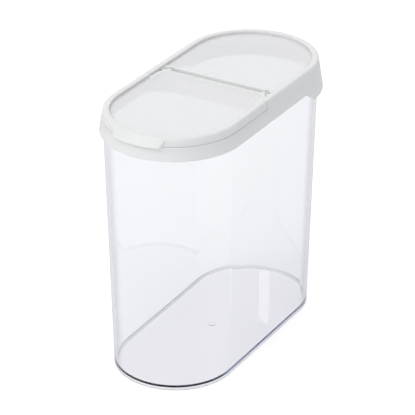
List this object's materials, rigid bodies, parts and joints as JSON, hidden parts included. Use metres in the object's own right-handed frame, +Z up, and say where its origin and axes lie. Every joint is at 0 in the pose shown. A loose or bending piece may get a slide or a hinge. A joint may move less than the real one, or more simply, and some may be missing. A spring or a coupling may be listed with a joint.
{
  "type": "food storage container",
  "caption": "Tall clear oval food keeper with a white lid: raised front flap with a pull tab on a hinge line across the middle, a fixed rear panel and a grip lip at the back.",
  "frame": {"origin": "middle of the flat ring that the jar stands on", "axes": "+Z up; Y along the long side with the flap's pull tab at -Y and the grip lip at +Y; X across"},
  "size_m": [0.0874, 0.1737, 0.1651],
  "materials": {
    "clear_jar": "clear",
    "clear_panel": "clear",
    "white_lid": "satin",
    "white_flap": "satin",
    "seal": "translucent silicone"
  },
  "bodies": {
    "jar": {"jar": "clear_jar"},
    "lid": {"lid_frame": "white_lid", "rear_window": "clear_panel", "lid_gasket": "seal", "flap_gasket": "seal"},
    "flap": {"flap_frame": "white_flap", "flap_window": "clear_panel"}
  },
  "joints": [
    {"name": "lid_lift", "type": "slide", "parent": "jar", "child": "lid", "axis": [0, 0, 1], "range_m": [0, 0.04]},
    {"name": "flap_hinge", "type": "hinge", "parent": "lid", "child": "flap", "pos_m": [0, 0.003, 0.1621], "axis": [-1, 0, 0], "range_deg": [0, 115]}
  ]
}
